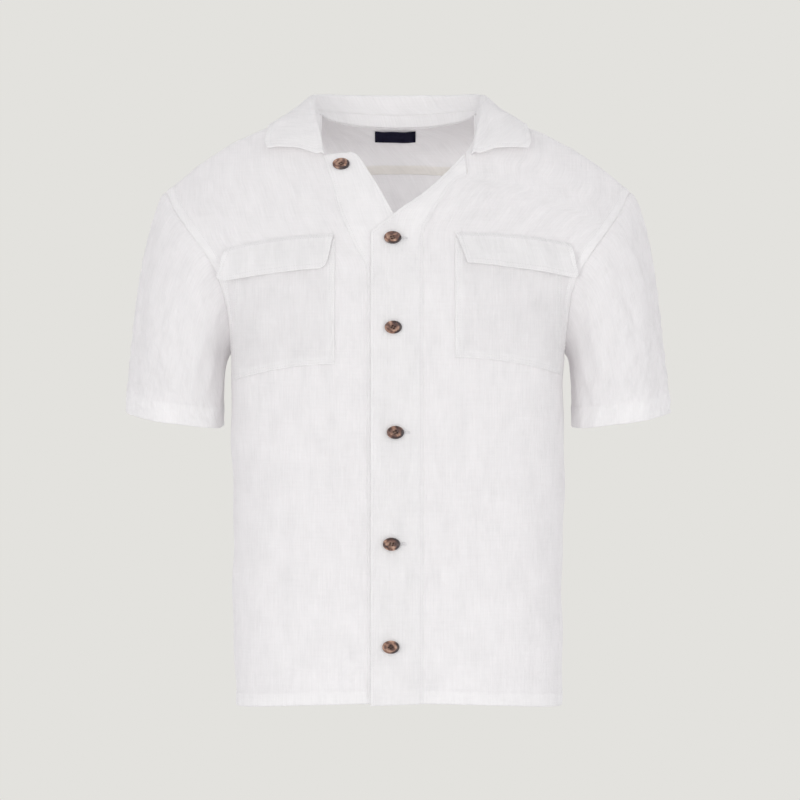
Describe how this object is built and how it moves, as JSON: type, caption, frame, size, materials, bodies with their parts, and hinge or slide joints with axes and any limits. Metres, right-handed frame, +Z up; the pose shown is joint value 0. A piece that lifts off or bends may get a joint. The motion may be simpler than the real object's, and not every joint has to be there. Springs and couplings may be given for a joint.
{
  "type": "resort shirt",
  "caption": "Hollow short-sleeved button-front shirt with an open camp collar and flapped chest pockets, filled out as worn.",
  "frame": {"origin": "in the hollow midway between the tops of the shoulders, at the height of the front neck's shoulder ends", "axes": "+Z up, the front faces -Y, +X towards the wearer's left"},
  "size_m": [0.6292, 0.2605, 0.7097],
  "materials": {
    "linen_white": "washed plain-weave linen, matte",
    "label_navy": "woven, plain dark navy",
    "horn_brown": "satin brown horn with dark swirls"
  },
  "bodies": {
    "root": {"front_left": "linen_white", "front_left_placket": "linen_white", "front_right": "linen_white", "front_right_band": "linen_white", "back": "linen_white", "yoke": "linen_white", "collar": "linen_white", "collar_stand": "linen_white", "sleeve_left": "linen_white", "sleeve_right": "linen_white", "pocket_left": "linen_white", "pocket_right": "linen_white", "flap_left": "linen_white", "flap_right": "linen_white", "label": "label_navy", "button_neck": "horn_brown", "button_1": "horn_brown", "button_2": "horn_brown", "button_3": "horn_brown", "button_4": "horn_brown", "button_5": "horn_brown"}
  },
  "joints": []
}
